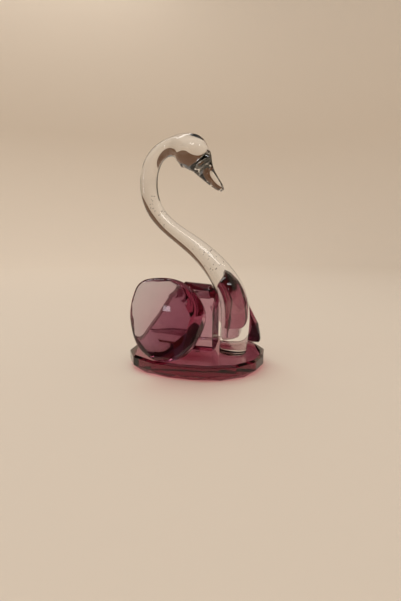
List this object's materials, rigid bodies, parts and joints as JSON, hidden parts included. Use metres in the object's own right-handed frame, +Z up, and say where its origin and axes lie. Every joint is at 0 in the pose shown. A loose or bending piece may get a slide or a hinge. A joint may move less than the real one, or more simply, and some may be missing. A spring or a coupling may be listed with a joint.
{
  "type": "swan figurine",
  "caption": "Small cut-glass swan ornament: clear S-shaped neck with head and beak, faceted violet wings and body, on an oval faceted base plate.",
  "frame": {"origin": "middle of the flat underside of the base plate, on the surface that the figurine stands on", "axes": "+X is the way the swan swims, +Y is its left, +Z is up"},
  "size_m": [0.0516, 0.0512, 0.0845],
  "materials": {
    "violet_glass": "polished cut glass, deep violet to wine red",
    "clear_glass": "polished clear glass"
  },
  "bodies": {
    "root": {"base_plate": "violet_glass", "body": "violet_glass", "right_wing": "violet_glass", "left_wing": "violet_glass", "neck_and_head": "clear_glass"}
  },
  "joints": []
}
